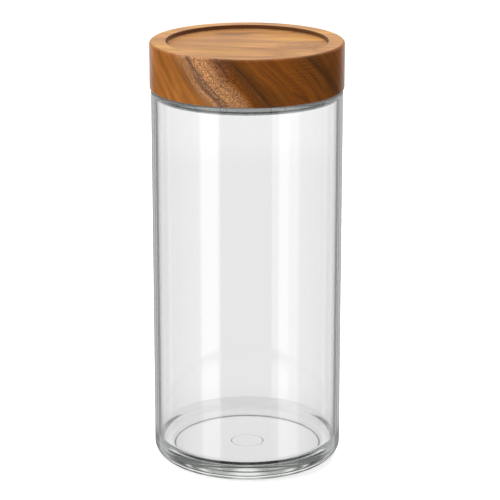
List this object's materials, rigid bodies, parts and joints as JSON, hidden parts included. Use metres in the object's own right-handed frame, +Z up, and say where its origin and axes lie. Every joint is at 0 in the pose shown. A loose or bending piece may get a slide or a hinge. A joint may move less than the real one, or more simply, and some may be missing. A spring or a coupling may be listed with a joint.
{
  "type": "storage jar",
  "caption": "Round clear glass storage jar with a thick base and a foot ring, closed by a lift-off turned wooden lid with a stacking seat and a silicone seal.",
  "frame": {"origin": "on the jar's axis, in the plane that its foot ring stands on", "axes": "+Z up along the jar's axis, from the foot ring to the lid; X and Y are across, and the part is round, so they are interchangeable"},
  "size_m": [0.1014, 0.1014, 0.2268],
  "materials": {
    "clear_glass": "clear, polished, faint green-grey at the edges",
    "oiled_acacia": "turned acacia, sanded and oiled, satin",
    "clear_silicone": "translucent food-grade silicone, smooth"
  },
  "bodies": {
    "jar": {"glass_jar": "clear_glass"},
    "lid": {"wooden_lid": "oiled_acacia", "seal_ring": "clear_silicone"}
  },
  "joints": [
    {"name": "lid_lift", "type": "slide", "parent": "jar", "child": "lid", "axis": [0, 0, 1], "range_m": [0, 0.06]}
  ]
}
